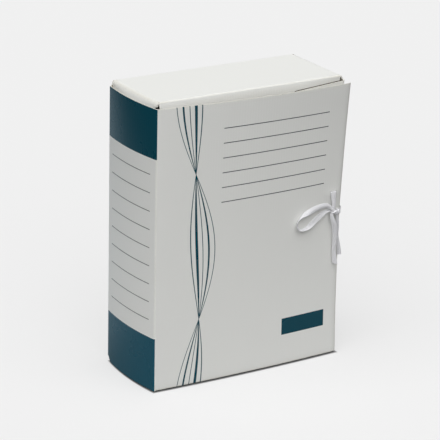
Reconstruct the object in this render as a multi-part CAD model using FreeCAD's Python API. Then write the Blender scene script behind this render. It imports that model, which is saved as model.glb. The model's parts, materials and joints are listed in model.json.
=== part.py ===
import FreeCAD, Part
import math
import os

# An upright archive box for A4 papers, folded from one blank of micro-corrugated board
# and tied at its fore-edge.
# Frame: +Z up, the cover faces -Y, the spine is on -X, the origin is under the middle of the bottom wall.
# All lengths are in millimetres, all angles in degrees.

# The blank: board and main panels
board = 1.6              # thickness of the board
strip_height = 325.0     # height of the spine, the cover and the fore-edge wall
strip_lift = 1.6         # their lower edge above the floor
top_rise = 5.3           # the top wall stands this far above their upper edge
tray_width = 242.0       # over the spine's creases and the fore-edge wall
box_depth = 101.8        # over the back panel and the cover, at the spine
cover_setback = 1.4      # the cover's free edge stands back from the fore-edge wall's outer face
notch_radius = 2.0       # inner corners of the back panel, where the blank is notched

# Clearances between the folded layers
fold_gap = 0.3           # between a crease's bead and the panel that turns on it
layer_gap = 0.4          # between panels that lie one behind the other at the front
ear_gap = 0.3            # between an ear and the wall outside it
seat_gap = 0.1           # between the tape or its patch and the board they are glued to
cut_over = 5.0           # how far cutting tools reach past what they cut

# Bowed panels
spine_bow = 4.5          # the spine bulges outwards by this much
cover_bows = {"foot": 3.0, "tie": 4.0, "head": 5.5}     # the cover's bulge from its chord
cover_flares = {"foot": 2.3, "tie": 1.4, "head": 12.6}  # how far its free edge stands out

# Flaps
tuck_depth = 48.0        # front flanges of the top and bottom walls
tuck_taper = 8.0
tuck_end_gap = 1.4       # between a front flange's end and the ear beside it
tuck_corner = 10.0
ear_depth = 45.0
ear_front_taper = 15.0
ear_back_taper = 4.0
ear_end_gap = 0.4        # between an ear's edges and the panels in front of and behind it
ear_corner = 8.0
fore_flange_length = 65.0
fore_flange_taper = 5.0
fore_flange_corner = 6.0

# Tapes
tape_width = 8.0
tape_thick = 0.6
tape_fold = 0.8          # radius of the tape's tight folds, at its middle line
tie_height = 175.3       # middle of the knot above the floor
tie_clear = 0.4          # between the tied tape and the cover
slit_above_tie = 23.5    # the cover's slit above the knot
slit_inset = 8.1         # its middle from the cover's free edge
slit_slack = 0.8         # a slit is this much longer and wider than the tape
tape_end_length = 24.0   # the end glued down inside
patch_size = 30.0
patch_thick = 0.3
knot_inset = 11.1        # the knot's middle from the cover's free edge
knot_width = 10.0
knot_height = 9.0
knot_depth = 5.4
knot_round = 2.2
tape_in_knot = 1.6       # how far the lead and the wrap run into the knot
gather_share = 0.6       # the lead is gathered to this share of its width at the knot
tray_slit_depth = 50.0   # the fore-edge wall's slit, behind the cover's crease line
tray_tape_rise = 1.4     # the tape from the tray comes in above the knot's middle

# The bow's routes, from the knot's middle: along X and Z for the loop, along Y and Z for the tails
loop_route = [(-2.0, 3.0), (-8.0, 8.8), (-16.0, 10.2), (-26.0, 8.6), (-37.0, 5.2), (-47.0, 0.4),
              (-51.0, -6.4), (-48.6, -13.4), (-41.5, -15.4), (-34.0, -11.4), (-27.0, -5.2), (-18.0, 0.4),
              (-9.5, 3.6), (-3.0, 1.8)]
long_tail_route = [(-0.6, -2.8), (-2.2, -10.0), (-1.2, -22.0), (0.6, -36.0), (1.6, -50.0), (1.4, -64.0)]
short_tail_route = [(1.4, -3.6), (1.6, -9.0), (2.6, -20.0), (3.4, -32.0), (3.2, -43.0), (3.7, -55.0)]
long_tail_lean = 6.5     # how far each tail leans towards the fore-edge
short_tail_lean = 7.0
long_tail_shift = -3.3   # where each tail leaves the knot, to the fore-edge side of its middle
short_tail_shift = 2.6
arc_share = 0.45         # each arc of a route takes this share of its shorter run

# Places that follow from the driving dimensions
half = board / 2
height = strip_lift + strip_height + top_rise
strip_top = strip_lift + strip_height
bead_room = half + fold_gap
spine_x = -tray_width / 2 + half
fore_x = tray_width / 2 - half
back_y = box_depth / 2 - half
cover_y = -box_depth / 2 + half
fore_flange_y = cover_y + board + layer_gap
tuck_y = fore_flange_y + board + layer_gap
tuck_inner_y = tuck_y + half
head_z = height - half
under_head_z = height - board
ear_inner_x = tray_width / 2 - board - ear_gap - board
ear_front_y = tuck_inner_y + ear_end_gap
ear_back_y = box_depth / 2 - board - ear_end_gap
tuck_half_width = ear_inner_x - tuck_end_gap
cover_edge_x = tray_width / 2 - cover_setback
slit_x = cover_edge_x - slit_inset
slit_z = tie_height + slit_above_tie
slit_length = tape_width + slit_slack
slit_width = tape_thick + slit_slack
tray_slit_y = cover_y + tray_slit_depth
tray_tape_z = tie_height + tray_tape_rise
knot_x = cover_edge_x - knot_inset


def vec(x, y, z):
    return FreeCAD.Vector(x, y, z)


def corner_arc(before, corner, after, radius):
    # the arc that rounds one corner of an outline or a route
    back = (before - corner).normalize()
    ahead = (after - corner).normalize()
    half_angle = back.getAngle(ahead) / 2
    reach = radius / math.tan(half_angle)
    inset = radius / math.sin(half_angle) - radius
    middle = corner + (back + ahead).normalize() * inset
    return Part.Arc(corner + back * reach, middle, corner + ahead * reach)


def rounded_wire(points, radii, closed):
    # straight runs joined by tangent arcs; a radius of zero leaves a sharp corner
    count = len(points)
    stops = []
    for i, point in enumerate(points):
        inner = closed or 0 < i < count - 1
        if inner and radii[i] > 0:
            arc = corner_arc(points[i - 1], point, points[(i + 1) % count], radii[i])
            stops.append((arc.StartPoint, arc, arc.EndPoint))
        else:
            stops.append((point, None, point))
    edges = []
    for i, (start, arc, end) in enumerate(stops):
        if arc:
            edges.append(arc.toShape())
        if closed or i < count - 1:
            edges.append(Part.LineSegment(end, stops[(i + 1) % count][0]).toShape())
    return Part.Wire(edges)


def plate(corners, thickness):
    # a flat panel from its (corner, radius) list, made solid along the thickness vector
    points = [point for point, radius in corners]
    radii = [radius for point, radius in corners]
    return Part.Face(rounded_wire(points, radii, True)).extrude(thickness)


def rod(start, end, radius):
    return Part.makeCylinder(radius, (end - start).Length, start, end - start)


def block(low, high):
    return Part.makeBox(high.x - low.x, high.y - low.y, high.z - low.z, low)


def fold_bead(corner, outward, up, along):
    # the quarter-round outside of a fold that turns inwards about its inner corner
    side = corner + outward * board
    middle = corner + (outward + up).normalize() * board
    top = corner + up * board
    edges = [Part.LineSegment(corner, side).toShape(), Part.Arc(side, middle, top).toShape(),
             Part.LineSegment(top, corner).toShape()]
    return Part.Face(Part.Wire(edges)).extrude(along)


def back_panel():
    y = back_y - half
    left, right = spine_x, fore_x
    wall = ear_inner_x
    corners = [(vec(-wall, y, half), 0), (vec(wall, y, half), 0), (vec(wall, y, strip_lift), 0),
               (vec(right, y, strip_lift), 0), (vec(right, y, strip_top), 0),
               (vec(wall, y, strip_top), notch_radius), (vec(wall, y, head_z), 0),
               (vec(-wall, y, head_z), 0), (vec(-wall, y, strip_top), notch_radius),
               (vec(left, y, strip_top), 0), (vec(left, y, strip_lift), 0), (vec(-wall, y, strip_lift), 0)]
    panel = plate(corners, vec(0, board, 0))
    beads = [rod(vec(left, back_y, strip_lift), vec(left, back_y, strip_top), half),
             rod(vec(right, back_y, strip_lift), vec(right, back_y, strip_top), half),
             rod(vec(-wall, back_y, half), vec(wall, back_y, half), half),
             rod(vec(-wall, back_y, head_z), vec(wall, back_y, head_z), half)]
    return panel.fuse(beads).removeSplitter()


def spine():
    # a bowed strip from the back crease to the cover's crease, where it ends in a bead
    chord = back_y - cover_y
    radius = (chord * chord / 4 + spine_bow * spine_bow) / (2 * spine_bow)
    centre = vec(spine_x - spine_bow + radius, (back_y + cover_y) / 2, strip_lift)
    back_end = vec(spine_x, back_y, strip_lift) - centre
    cover_end = vec(spine_x, cover_y, strip_lift) - centre
    outer = (radius + half) / radius
    inner = (radius - half) / radius
    crown = vec(-radius, 0, 0)
    outside = [centre + way * outer for way in (back_end, crown, cover_end)]
    inside = [centre + way * inner for way in (cover_end, crown, back_end)]
    edges = [Part.Arc(*outside).toShape(), Part.LineSegment(outside[-1], inside[0]).toShape(),
             Part.Arc(*inside).toShape(), Part.LineSegment(inside[-1], outside[0]).toShape()]
    strip = Part.Face(Part.Wire(edges)).extrude(vec(0, 0, strip_height))
    bead = rod(vec(spine_x, cover_y, strip_lift), vec(spine_x, cover_y, strip_top), half)
    crease_cut = block(vec(-tray_width, back_y - bead_room, 0), vec(0, box_depth, height))
    return strip.fuse(bead).cut(crease_cut).removeSplitter()


def cover_layer(outer_shift, thickness):
    # a layer that follows the cover's outer face, shifted inwards, lofted through three bowed sections
    sections = []
    for level, z in (("foot", strip_lift), ("tie", tie_height), ("head", strip_top)):
        outer_y = cover_y - half + outer_shift
        flare = cover_flares[level]
        start = vec(spine_x, outer_y, z)
        end = vec(cover_edge_x, outer_y - flare, z)
        crown = (start + end) * (1 / 2) - vec(0, cover_bows[level], 0)
        across = vec(0, thickness, 0)
        sections.append(Part.Wire([
            Part.Arc(start, crown, end).toShape(),
            Part.LineSegment(end, end + across).toShape(),
            Part.Arc(end + across, crown + across, start + across).toShape(),
            Part.LineSegment(start + across, start).toShape()]))
    return Part.makeLoft(sections, True)


def across_cover(x_low, x_high, z_low, z_high):
    # a block that takes a piece out of a cover layer
    return block(vec(x_low, -box_depth, z_low), vec(x_high, 0, z_high))


def front_cover():
    crease_cut = across_cover(-tray_width, spine_x + bead_room, 0, height)
    slit = across_cover(slit_x - slit_length / 2, slit_x + slit_length / 2,
                        slit_z - slit_width / 2, slit_z + slit_width / 2)
    return cover_layer(0, board).cut([crease_cut, slit])


def fore_edge_wall():
    x = fore_x - half
    rear_y = back_y - bead_room
    corners = [(vec(x, rear_y, strip_lift), 0), (vec(x, rear_y, strip_top), 0),
               (vec(x, fore_flange_y, strip_top), 0), (vec(x, fore_flange_y, strip_lift), 0)]
    panel = plate(corners, vec(board, 0, 0))
    bead = rod(vec(fore_x, fore_flange_y, strip_lift), vec(fore_x, fore_flange_y, strip_top), half)
    slit = block(vec(fore_x - board, tray_slit_y - slit_width / 2, tray_tape_z - slit_length / 2),
                 vec(fore_x + board, tray_slit_y + slit_width / 2, tray_tape_z + slit_length / 2))
    return panel.fuse(bead).cut(slit).removeSplitter()


def fore_edge_flange():
    y = fore_flange_y - half
    drop = fore_flange_length * math.tan(math.radians(fore_flange_taper))
    root_x = fore_x - bead_room
    tip_x = root_x - fore_flange_length
    corners = [(vec(root_x, y, strip_lift), 0), (vec(root_x, y, strip_top), 0),
               (vec(tip_x, y, strip_top - drop), fore_flange_corner),
               (vec(tip_x, y, strip_lift + drop), fore_flange_corner)]
    return plate(corners, vec(0, board, 0))


def top_wall():
    panel = block(vec(-ear_inner_x, tuck_inner_y, under_head_z),
                  vec(ear_inner_x, back_y - bead_room, height))
    up = vec(0, 0, 1)
    ear_run = vec(0, ear_back_y - ear_front_y, 0)
    beads = [fold_bead(vec(-tuck_half_width, tuck_inner_y, under_head_z), vec(0, -1, 0), up,
                       vec(2 * tuck_half_width, 0, 0)),
             fold_bead(vec(-ear_inner_x, ear_front_y, under_head_z), vec(-1, 0, 0), up, ear_run),
             fold_bead(vec(ear_inner_x, ear_front_y, under_head_z), vec(1, 0, 0), up, ear_run)]
    return panel.fuse(beads).removeSplitter()


def top_flange():
    y = tuck_y - half
    top_z = under_head_z - fold_gap
    foot_z = under_head_z - tuck_depth
    narrow = tuck_half_width - tuck_depth * math.tan(math.radians(tuck_taper))
    corners = [(vec(-tuck_half_width, y, top_z), 0), (vec(tuck_half_width, y, top_z), 0),
               (vec(narrow, y, foot_z), tuck_corner), (vec(-narrow, y, foot_z), tuck_corner)]
    return plate(corners, vec(0, board, 0))


def top_ear(side):
    # side is -1 at the spine and 1 at the fore-edge
    x = side * ear_inner_x
    top_z = under_head_z - fold_gap
    foot_z = under_head_z - ear_depth
    front_foot = ear_front_y + ear_depth * math.tan(math.radians(ear_front_taper))
    back_foot = ear_back_y - ear_depth * math.tan(math.radians(ear_back_taper))
    corners = [(vec(x, ear_front_y, top_z), 0), (vec(x, ear_back_y, top_z), 0),
               (vec(x, back_foot, foot_z), ear_corner), (vec(x, front_foot, foot_z), ear_corner)]
    return plate(corners, vec(side * board, 0, 0))


def underside(shape):
    # the bottom wall and its flaps are the top ones turned over
    return shape.mirror(vec(0, 0, height / 2), vec(0, 0, 1))


def tape_strip(points, radii, width_way):
    # flat tape along a plane route, its width square to the plane
    route = rounded_wire(points, radii, False)
    run = (points[1] - points[0]).normalize()
    across = width_way * (tape_width / 2)
    through = run.cross(width_way).normalize() * (tape_thick / 2)
    start = points[0]
    section = Part.makePolygon([start - across - through, start + across - through,
                                start + across + through, start - across + through,
                                start - across - through])
    strip = route.makePipeShell([section], True, False)
    share = strip.Volume / (route.Length * tape_width * tape_thick)
    print("tape of", round(route.Length, 1), "mm, volume share", round(share, 4))
    return strip


def soft_radii(points):
    # arcs as large as the two runs beside each point allow
    radii = [0]
    for i in range(1, len(points) - 1):
        before = points[i] - points[i - 1]
        after = points[i + 1] - points[i]
        run = arc_share * min(before.Length, after.Length)
        radii.append(run / math.tan(before.getAngle(after) / 2))
    print("radii", [round(r, 1) for r in radii[1:]])
    return radii + [0]


def cover_face_y(cover, x, z):
    # the cover's outer face at one place
    probe = Part.makeLine(vec(x, 0, z), vec(x, -box_depth, z))
    return cover.common(probe).BoundBox.YMin


def cover_tape():
    # glued down inside the cover, out through the slit and down to the knot
    lead_shift = -seat_gap - tape_thick
    end_shift = board + seat_gap
    left = slit_x - tape_width / 2
    right = slit_x + tape_width / 2
    low = slit_z - tape_thick / 2
    high = slit_z + tape_thick / 2
    inner_end = cover_layer(end_shift, tape_thick).common(
        across_cover(left, right, low, low + tape_end_length))
    through = cover_layer(lead_shift, end_shift + tape_thick - lead_shift).common(
        across_cover(left, right, low, high))
    gathered = tape_width * gather_share / 2
    knot_end = tie_height + knot_height / 2 - tape_in_knot
    lead_outline = [(vec(left, 0, high), 0), (vec(right, 0, high), 0),
                    (vec(knot_x + gathered, 0, knot_end), 0), (vec(knot_x - gathered, 0, knot_end), 0)]
    lead = cover_layer(lead_shift, tape_thick).common(plate(lead_outline, vec(0, -box_depth, 0)))
    return inner_end.fuse([through, lead]).removeSplitter()


def cover_patch():
    # paper glued over the tape's end, raised where the tape lies under it
    margin = (patch_size - tape_width) / 2
    low = slit_z + slit_width
    pad = cover_layer(board + seat_gap, tape_thick + seat_gap + patch_thick).common(
        across_cover(slit_x - patch_size / 2, min(slit_x + patch_size / 2, cover_edge_x - slit_width),
                     low, low + patch_size))
    room = margin - seat_gap
    tape_room = cover_layer(0, board + seat_gap + tape_thick + seat_gap).common(
        across_cover(slit_x - patch_size / 2 + room, slit_x + patch_size / 2 - room,
                     low - cut_over, slit_z + tape_end_length + seat_gap))
    return pad.cut(tape_room)


def tray_tape():
    # glued down inside the fore-edge wall, out through its slit and forward to the cover's edge
    outer_x = fore_x + half + fold_gap + tape_thick / 2
    inner_x = fore_x - half - seat_gap - tape_thick / 2
    points = [vec(inner_x, tray_slit_y + tape_end_length, tray_tape_z),
              vec(inner_x, tray_slit_y, tray_tape_z), vec(outer_x, tray_slit_y, tray_tape_z),
              vec(outer_x, fore_flange_y - half, tray_tape_z)]
    return tape_strip(points, [0, tape_fold, tape_fold, 0], vec(0, 0, 1))


def tray_patch():
    low = vec(fore_x - half - seat_gap - tape_thick - seat_gap - patch_thick, tray_slit_y + slit_width,
              tray_tape_z - patch_size / 2)
    high = vec(fore_x - half - seat_gap, tray_slit_y + slit_width + patch_size, tray_tape_z + patch_size / 2)
    room_low = vec(low.x + patch_thick, tray_slit_y, tray_tape_z - tape_width / 2 - seat_gap)
    room_high = vec(fore_x, tray_slit_y + tape_end_length + seat_gap,
                    tray_tape_z + tape_width / 2 + seat_gap)
    return block(low, high).cut(block(room_low, room_high))


def tape_wrap(cover):
    # the tape from the tray, bent past the cover's free edge to the knot
    outer_x = fore_x + half + fold_gap + tape_thick / 2
    clear = tie_clear + tape_thick / 2
    start_y = fore_flange_y - half - fold_gap
    round_x = max(outer_x, cover_edge_x + clear)
    edge_y = cover_face_y(cover, cover_edge_x - seat_gap, tie_height) - clear
    knot_side_x = knot_x + knot_width / 2 - tape_in_knot
    knot_side_y = knot_back_y(cover) - knot_depth / 2
    points = [vec(round_x, start_y, tray_tape_z), vec(round_x, edge_y, tray_tape_z),
              vec(knot_side_x, knot_side_y, tray_tape_z)]
    return tape_strip(points, [0, tape_fold, 0], vec(0, 0, 1))


def knot_back_y(cover):
    return cover_face_y(cover, knot_x - knot_width / 2, tie_height) - tie_clear


def knot(cover):
    back = knot_back_y(cover)
    low = vec(knot_x - knot_width / 2, back - knot_depth, tie_height - knot_height / 2)
    lump = block(low, vec(low.x + knot_width, back, low.z + knot_height))
    return lump.makeFillet(knot_round, lump.Edges)


def bow_loop(cover):
    # a band on edge, out from the knot and back to it
    reach = min(x for x, z in loop_route)
    middle_y = cover_face_y(cover, knot_x + reach, tie_height) - tie_clear - tape_width / 2
    points = [vec(knot_x + x, middle_y, tie_height + z) for x, z in loop_route]
    return tape_strip(points, soft_radii(points), vec(0, 1, 0))


def tail(cover, route, shift, lean):
    # a tape end hanging flat against the cover, leaning towards the fore-edge
    x = knot_x + shift
    y = knot_back_y(cover) - knot_depth / 2
    points = [vec(x, y + out, tie_height + z) for out, z in route]
    strip = tape_strip(points, soft_radii(points), vec(1, 0, 0))
    strip.rotate(vec(x, y, tie_height), vec(0, 1, 0), -lean)
    return strip


cover = front_cover()
nodes = {
    "back_panel": back_panel(),
    "spine": spine(),
    "front_cover": cover,
    "fore_edge_wall": fore_edge_wall(),
    "fore_edge_flange": fore_edge_flange(),
    "top_wall": top_wall(),
    "top_flange": top_flange(),
    "top_spine_ear": top_ear(-1),
    "top_fore_ear": top_ear(1),
    "bottom_wall": underside(top_wall()),
    "bottom_flange": underside(top_flange()),
    "bottom_spine_ear": underside(top_ear(-1)),
    "bottom_fore_ear": underside(top_ear(1)),
    "cover_tape": cover_tape(),
    "cover_tape_patch": cover_patch(),
    "tray_tape": tray_tape(),
    "tray_tape_patch": tray_patch(),
    "tape_wrap": tape_wrap(cover),
    "knot": knot(cover),
    "bow_loop": bow_loop(cover),
    "long_tail": tail(cover, long_tail_route, long_tail_shift, long_tail_lean),
    "short_tail": tail(cover, short_tail_route, short_tail_shift, short_tail_lean),
}

os.makedirs("parts", exist_ok=True)
for name, shape in nodes.items():
    box = shape.BoundBox
    print(name, shape.ShapeType, len(shape.Solids), shape.isValid(), round(shape.Volume, 1),
          [round(v, 2) for v in (box.XMin, box.XMax, box.YMin, box.YMax, box.ZMin, box.ZMax)])
    shape.exportStep("parts/" + name + ".step")
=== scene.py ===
import json
import math

import bmesh
import bpy
from mathutils import Matrix, Vector


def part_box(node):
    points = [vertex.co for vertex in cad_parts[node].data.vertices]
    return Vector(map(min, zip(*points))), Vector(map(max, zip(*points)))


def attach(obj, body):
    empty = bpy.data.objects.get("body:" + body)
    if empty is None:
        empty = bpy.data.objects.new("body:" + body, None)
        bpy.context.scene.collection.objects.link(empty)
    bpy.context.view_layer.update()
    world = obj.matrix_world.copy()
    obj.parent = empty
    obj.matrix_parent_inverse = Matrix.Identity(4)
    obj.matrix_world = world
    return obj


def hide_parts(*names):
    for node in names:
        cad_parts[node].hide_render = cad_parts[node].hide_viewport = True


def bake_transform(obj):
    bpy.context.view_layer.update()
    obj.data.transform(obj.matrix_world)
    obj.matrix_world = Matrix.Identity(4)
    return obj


# an upright archive box: folded corrugated board, printed liners, a tape tied in a half bow
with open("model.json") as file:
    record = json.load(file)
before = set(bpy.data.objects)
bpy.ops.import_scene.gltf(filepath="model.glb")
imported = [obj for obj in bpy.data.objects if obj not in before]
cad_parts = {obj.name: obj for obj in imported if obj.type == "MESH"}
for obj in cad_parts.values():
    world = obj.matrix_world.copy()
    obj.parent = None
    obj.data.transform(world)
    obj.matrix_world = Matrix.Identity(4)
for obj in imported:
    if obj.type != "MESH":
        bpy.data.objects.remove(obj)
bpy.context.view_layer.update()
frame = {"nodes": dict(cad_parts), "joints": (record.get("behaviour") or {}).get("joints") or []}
scene = bpy.context.scene
mm = 0.001
weld = 1e-7                                         # points closer than this are one
print("frame loaded with", len(frame["nodes"]), "nodes")

# places read from the frame
creases = {joint["name"]: Vector(joint["pos_m"]) for joint in frame["joints"]}
spineX, backY = creases["spine_fold"].xy
coverY = creases["cover_open"].y
foreX = creases["fore_edge_fold"].x
foreFlangeY = creases["fore_flange_fold"].y
headZ = creases["top_fold"].z                       # middle of the top wall's board
tuckY, underHeadZ = creases["top_tuck_fold"].yz     # inner corner of the front flange's fold
earX = creases["top_fore_ear_fold"].x               # inner corner of the ears' folds
stripLow, stripHigh = (corner.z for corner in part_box("spine"))
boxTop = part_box("top_wall")[1].z
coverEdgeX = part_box("front_cover")[1].x
flangeLow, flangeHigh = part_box("fore_edge_flange")
board = flangeHigh.y - flangeLow.y
half = board / 2
knotLow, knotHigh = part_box("knot")
knotAt = (knotLow + knotHigh) / 2
tieZ = knotAt.z


def heading(azimuth, elevation):
    # the way out to the camera or a lamp; azimuth 0 is in front of the cover
    turn, rise = math.radians(azimuth), math.radians(elevation)
    return Vector((math.sin(turn) * math.cos(rise), -math.cos(turn) * math.cos(rise), math.sin(rise)))


# camera, at the photograph's viewing angle
cameraView = {"azimuth": -31.9, "elevation": 19.9, "roll": 1.25, "distance": 2.543, "lens": 185.1,
              "target": (0, 0, 0.1641), "across": -0.0067, "up": 0.0017}


def placeCamera(values):
    azimuth, roll = math.radians(values["azimuth"]), math.radians(values["roll"])
    back = heading(values["azimuth"], values["elevation"])
    right = Vector((math.cos(azimuth), math.sin(azimuth), 0))
    up = back.cross(right)
    data = bpy.data.cameras.new("camera")
    data.lens = values["lens"]
    camera = bpy.data.objects.new("camera", data)
    scene.collection.objects.link(camera)
    turned = (right * math.cos(roll) + up * math.sin(roll), up * math.cos(roll) - right * math.sin(roll))
    place = Matrix((*turned, back)).transposed().to_4x4()
    place.translation = (Vector(values["target"]) + back * values["distance"] + right * values["across"]
                         + up * values["up"])
    camera.matrix_world = place
    scene.camera = camera


placeCamera(cameraView)
print("camera placed")


class Graph:
    # wires nodes: a socket given as an input is linked, a plain value is set
    def __init__(self, tree):
        self.tree = tree

    def add(self, kind, inputs=None, **settings):
        node = self.tree.nodes.new(kind)
        for name, value in settings.items():
            setattr(node, name, value)
        for key, value in (inputs or {}).items():
            if isinstance(value, bpy.types.NodeSocket):
                self.tree.links.new(value, node.inputs[key])
            else:
                node.inputs[key].default_value = value
        return node

    def math(self, operation, *values):
        return self.add("ShaderNodeMath", dict(enumerate(values)), operation=operation).outputs[0]

    def times(self, first, second):
        return self.math("MULTIPLY", first, second)

    def over(self, first, second):
        return self.math("DIVIDE", first, second)

    def minus(self, first, second):
        return self.math("SUBTRACT", first, second)

    def larger(self, first, second):
        return self.math("MAXIMUM", first, second)

    def scaled(self, value, factor, shift):
        return self.math("MULTIPLY_ADD", value, factor, shift)

    def mix(self, share, first, second):
        return self.add("ShaderNodeMix", {0: share, 6: first, 7: second}, data_type="RGBA").outputs[2]

    def attribute(self, name):
        return self.add("ShaderNodeAttribute", attribute_name=name).outputs["Fac"]

    def noise(self, place, scale, detail=3.0):
        inputs = {"Vector": place, "Scale": scale, "Detail": detail}
        return self.add("ShaderNodeTexNoise", inputs).outputs["Fac"]

    def objectPlace(self):
        return self.add("ShaderNodeTexCoord").outputs["Object"]

    def split(self, place):
        return self.add("ShaderNodeSeparateXYZ", {0: place}).outputs

    def clamp(self, value):
        return self.add("ShaderNodeClamp", {0: value}).outputs[0]

    def outside(self, value, middle, halfWidth):
        # how far a value lies outside middle plus or minus halfWidth
        away = self.math("ABSOLUTE", self.minus(value, middle))
        return self.minus(away, halfWidth)

    def beyond(self, value, low, high):
        return self.outside(value, (low + high) / 2, (high - low) / 2)

    def inked(self, distance):
        # 1 inside an outline and 0 outside it, from the distance to it
        return self.clamp(self.minus(0.5, self.over(distance, inks["soft"])))


def newMaterial(name):
    material = bpy.data.materials.new(name)
    material.use_nodes = True
    material.node_tree.nodes.clear()
    return material, Graph(material.node_tree)


def surface(graph, colour, roughness, height, specular=0.35, sheen=0.0):
    # the last nodes of every material: bump in metres, then the shader
    bump = graph.add("ShaderNodeBump", {"Height": height, "Strength": 1.0, "Distance": 1.0})
    shader = graph.add("ShaderNodeBsdfPrincipled", {"Base Color": colour, "Roughness": roughness,
                                                    "Specular IOR Level": specular, "Sheen Weight": sheen,
                                                    "Normal": bump.outputs[0]})
    graph.add("ShaderNodeOutputMaterial", {"Surface": shader.outputs[0]})


# inks and papers; the lighter second teal is a painted reflection of the pale floor on the spine's lower band
inks = {"teal": (0.001, 0.058, 0.087, 1), "thinTeal": (0.003, 0.080, 0.125, 1),
        "grey": (0.035, 0.045, 0.050, 1), "soft": 0.12 * mm}
# edge is the colour of worn cut edges and of the painted shade along fold bends
liner = {"white": (0.850, 0.855, 0.828, 1), "shade": (0.805, 0.808, 0.782, 1), "edge": (0.70, 0.69, 0.62, 1),
         "roughness": 0.50, "roughSpread": 0.08, "inkRoughness": 0.28, "washboard": 0.010 * mm,
         "fibre": 0.004 * mm, "fibreScale": 2600.0, "cloudScale": 28.0, "cloudShare": 0.35,
         "wearScale": 260.0, "wearBase": 0.2}
grain = {"streaks": (900.0, 900.0, 140.0), "streakShare": 0.5, "specks": 900.0, "speckPower": 4.0,
         "speckShare": 1.6, "roughness": 0.82, "specular": 0.2}
fluting = {"pitch": 3.3 * mm, "paper": 0.16 * mm, "liner": 0.24 * mm, "segments": 6}

coverLines = {"count": 6, "pitch": 17.06 * mm, "top": 296.6 * mm, "left": -41.2 * mm, "right": 93.5 * mm,
              "width": 0.95 * mm}
coverBlock = {"left": 43.4 * mm, "right": 101.4 * mm, "low": 37.3 * mm, "high": 57.1 * mm}
coverWaves = {"middle": -73.0 * mm, "sway": 11.0 * mm, "length": 430.0 * mm, "start": 30.0 * mm,
              "spread": 15.0 * mm, "twist": 340.0 * mm, "twistStart": 78.0 * mm, "thin": 0.32 * mm,
              "swells": (0.3 * mm, 1.4 * mm, 0.12 * mm, 0.8 * mm, 0.12 * mm)}
spineLines = {"count": 9, "pitch": 20.96 * mm, "top": 252.0 * mm, "left": -41.0 * mm, "right": 39.7 * mm,
              "width": 0.85 * mm}
spineBands = {"low": 63.7 * mm, "high": 270.5 * mm}


def ruledLines(graph, across, height, lines):
    # distance to the nearest of some level writing lines
    pitch = lines["pitch"]
    low = lines["top"] - (lines["count"] - 0.5) * pitch
    step = graph.math("WRAP", graph.minus(height, low), pitch, 0.0)
    nearest = graph.outside(step, pitch / 2, lines["width"] / 2)
    sides = graph.beyond(across, lines["left"], lines["right"])
    ends = graph.beyond(height, low, low + lines["count"] * pitch)
    return graph.larger(nearest, graph.larger(sides, ends))


def printedBlock(graph, across, height, block):
    sides = graph.beyond(across, block["left"], block["right"])
    return graph.larger(sides, graph.beyond(height, block["low"], block["high"]))


def twistedStrands(graph, across, height, waves):
    # a bundle of swaying lines that fans out and closes up again
    def wave(length, start):
        turn = graph.times(graph.minus(height, start), math.tau / length)
        return graph.math("SINE", turn)

    sway = graph.scaled(wave(waves["length"], waves["start"]), waves["sway"], waves["middle"])
    twist = wave(waves["twist"], waves["twistStart"])
    fan = graph.math("ABSOLUTE", twist)
    found = None
    for strand, swell in enumerate(waves["swells"]):
        share = strand / (len(waves["swells"]) - 1) * 2 - 1
        line = graph.scaled(twist, share * waves["spread"], sway)
        away = graph.math("ABSOLUTE", graph.minus(across, line))
        stroke = graph.scaled(fan, swell, waves["thin"])
        edge = graph.minus(away, stroke)
        found = edge if found is None else graph.math("MINIMUM", found, edge)
    return found


def coverPrint(graph, x, y, z):
    strands = twistedStrands(graph, x, z, coverWaves)
    teal = graph.math("MINIMUM", printedBlock(graph, x, z, coverBlock), strands)
    lines = ruledLines(graph, x, z, coverLines)
    return [(graph.inked(teal), inks["teal"]), (graph.inked(lines), inks["grey"])]


def spinePrint(graph, x, y, z):
    # bands end where the attribute printed falls under a half, round the folds; the lower band is a lighter
    # teal, a painted reflection of the pale floor
    onSpine = graph.math("GREATER_THAN", graph.attribute("printed"), 0.5)
    bands = ((graph.minus(spineBands["high"], z), inks["teal"]),
             (graph.minus(z, spineBands["low"]), inks["thinTeal"]))
    printed = [(graph.times(graph.inked(edge), onSpine), ink) for edge, ink in bands]
    return printed + [(graph.inked(ruledLines(graph, y, z, spineLines)), inks["grey"])]


def linerMaterial(name, printing=None):
    # coated white liner: cloudy paper, faint flutes showing through, worn cut edges, painted shade along fold
    # bends, ink on top
    material, graph = newMaterial(name)
    place = graph.objectPlace()
    cloud = graph.noise(place, liner["cloudScale"])
    colour = graph.mix(graph.times(cloud, liner["cloudShare"]), liner["white"], liner["shade"])
    # the cutEdge attribute holds wear at cut edges and painted shade along the bends of folds; both darken
    # toward the edge colour
    patchy = graph.math("ADD", graph.noise(place, liner["wearScale"]), liner["wearBase"])
    wearAndShade = graph.times(graph.math("POWER", graph.attribute("cutEdge"), 2.0), patchy)
    colour = graph.mix(wearAndShade, colour, liner["edge"])
    flutes = graph.math("SINE", graph.times(graph.attribute("across"), math.tau / fluting["pitch"]))
    fibre = graph.times(graph.noise(place, liner["fibreScale"], 2.0), liner["fibre"])
    height = graph.scaled(flutes, liner["washboard"], fibre)
    smoothest = liner["roughness"] - liner["roughSpread"] / 2
    roughness = graph.scaled(cloud, liner["roughSpread"], smoothest)
    if printing:
        polish = liner["roughness"] - liner["inkRoughness"]
        for mask, ink in printing(graph, *graph.split(place)):
            colour = graph.mix(mask, colour, ink)
            roughness = graph.minus(roughness, graph.times(mask, polish))
    surface(graph, colour, roughness, height)
    return material


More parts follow.
